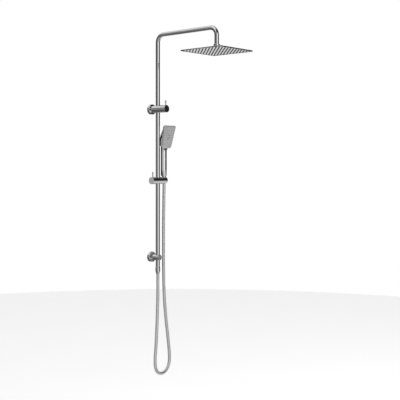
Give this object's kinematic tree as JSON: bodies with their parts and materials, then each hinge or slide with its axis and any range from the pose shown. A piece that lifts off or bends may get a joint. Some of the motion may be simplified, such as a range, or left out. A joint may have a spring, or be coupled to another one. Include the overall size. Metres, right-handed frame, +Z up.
{
  "type": "rainfall shower column",
  "caption": "Wall-mounted chrome shower column: rail on two round brackets, swan-neck arm with a thin square rain head, sliding hand shower and a smooth hanging hose.",
  "frame": {"origin": "centre of the water inlet's mouth in the upper bracket, on the wall plane", "axes": "+Z up, -Y out of the wall towards the user, +X towards the hand shower's side"},
  "size_m": [0.25, 0.575, 1.772],
  "materials": {
    "chrome": "polished",
    "steel": "polished, slightly softer than the chrome",
    "hose_pvc": "satin silver",
    "silicone": "matt grey",
    "rubber": "matt black",
    "brass": "turned",
    "ceramic": "ground",
    "white_plastic": "moulded",
    "grey_plastic": "moulded",
    "chromed_plastic": "chrome plated",
    "face_plastic": "satin chrome plated"
  },
  "bodies": {
    "column": {"upper_flange": "chrome", "upper_flange_ring": "rubber", "diverter_body": "chrome", "inlet_filter": "rubber", "port_seal": "rubber", "fixed_disc": "ceramic", "cartridge_shell": "white_plastic", "cartridge_nut": "brass", "riser_arm": "chrome", "riser_ring": "rubber", "arm_nipple": "brass", "swivel_collar": "chrome", "rail_tube": "chrome", "rail_ring": "rubber", "lower_flange": "chrome", "lower_flange_screw": "steel", "wall_plate": "steel", "lower_bracket": "chrome", "lower_bracket_cap": "chrome", "rail_screw": "steel", "outlet_nipple": "chrome", "outlet_washer": "rubber", "hose_nut": "chrome", "hose_lower_ferrule": "brass", "hose": "hose_pvc"},
    "diverter_lever": {"diverter_knob": "chrome", "diverter_pin": "chrome", "diverter_spindle": "brass", "turning_disc": "ceramic", "knob_screw": "steel"},
    "ball_ring": {"ball_seat": "white_plastic"},
    "rain_head": {"ball_stud": "chrome", "stud_gasket": "rubber", "stud_nut": "brass", "head_top_shell": "steel", "head_face_plate": "steel", "head_nozzles": "silicone"},
    "slider": {"slider_body": "chrome", "slider_liner": "grey_plastic", "brake_pad": "rubber"},
    "clamp_lever": {"clamp_knob": "chrome", "clamp_pin": "chrome", "clamp_screw": "brass"},
    "hose_end": {"hose_upper_ferrule": "brass"},
    "handset": {"handset_washer": "rubber", "hose_cone_nut": "chrome", "handset_nipple": "brass", "handset_shell": "chromed_plastic", "handset_back_cover": "chromed_plastic", "handset_face_plate": "face_plastic", "handset_nozzles": "silicone", "water_tube": "white_plastic", "button_spring": "steel"},
    "button": {"spray_button": "chromed_plastic"}
  },
  "joints": [
    {"name": "diverter_turn", "type": "hinge", "parent": "column", "child": "diverter_lever", "pos_m": [0, -0.1, 0], "axis": [0, -1, 0], "range_deg": [-90, 90]},
    {"name": "head_swivel", "type": "hinge", "parent": "column", "child": "ball_ring", "pos_m": [0, -0.45, 0.282], "axis": [0, 0, 1], "continuous": true},
    {"name": "head_tilt", "type": "hinge", "parent": "ball_ring", "child": "rain_head", "pos_m": [0, -0.45, 0.282], "axis": [1, 0, 0], "range_deg": [-12, 12]},
    {"name": "slider_slide", "type": "slide", "parent": "column", "child": "slider", "axis": [0, 0, 1], "range_m": [-0.25, 0.02], "deforming": ["hose"]},
    {"name": "slider_lock", "type": "hinge", "parent": "slider", "child": "clamp_lever", "pos_m": [-0.035, -0.052, -0.368], "axis": [1, 0, 0], "range_deg": [0, 90]},
    {"name": "handset_lift", "type": "slide", "parent": "slider", "child": "hose_end", "axis": [0, 0, 1], "range_m": [0, 0.04]},
    {"name": "handset_swivel", "type": "hinge", "parent": "hose_end", "child": "handset", "pos_m": [0.046, -0.052, -0.36], "axis": [0, 0, 1], "range_deg": [-5, 100]},
    {"name": "button_press", "type": "slide", "parent": "handset", "child": "button", "axis": [0, 1, 0], "range_m": [0, 0.002], "stiffness_N_per_m": 1500, "deforming": ["button_spring"]}
  ]
}
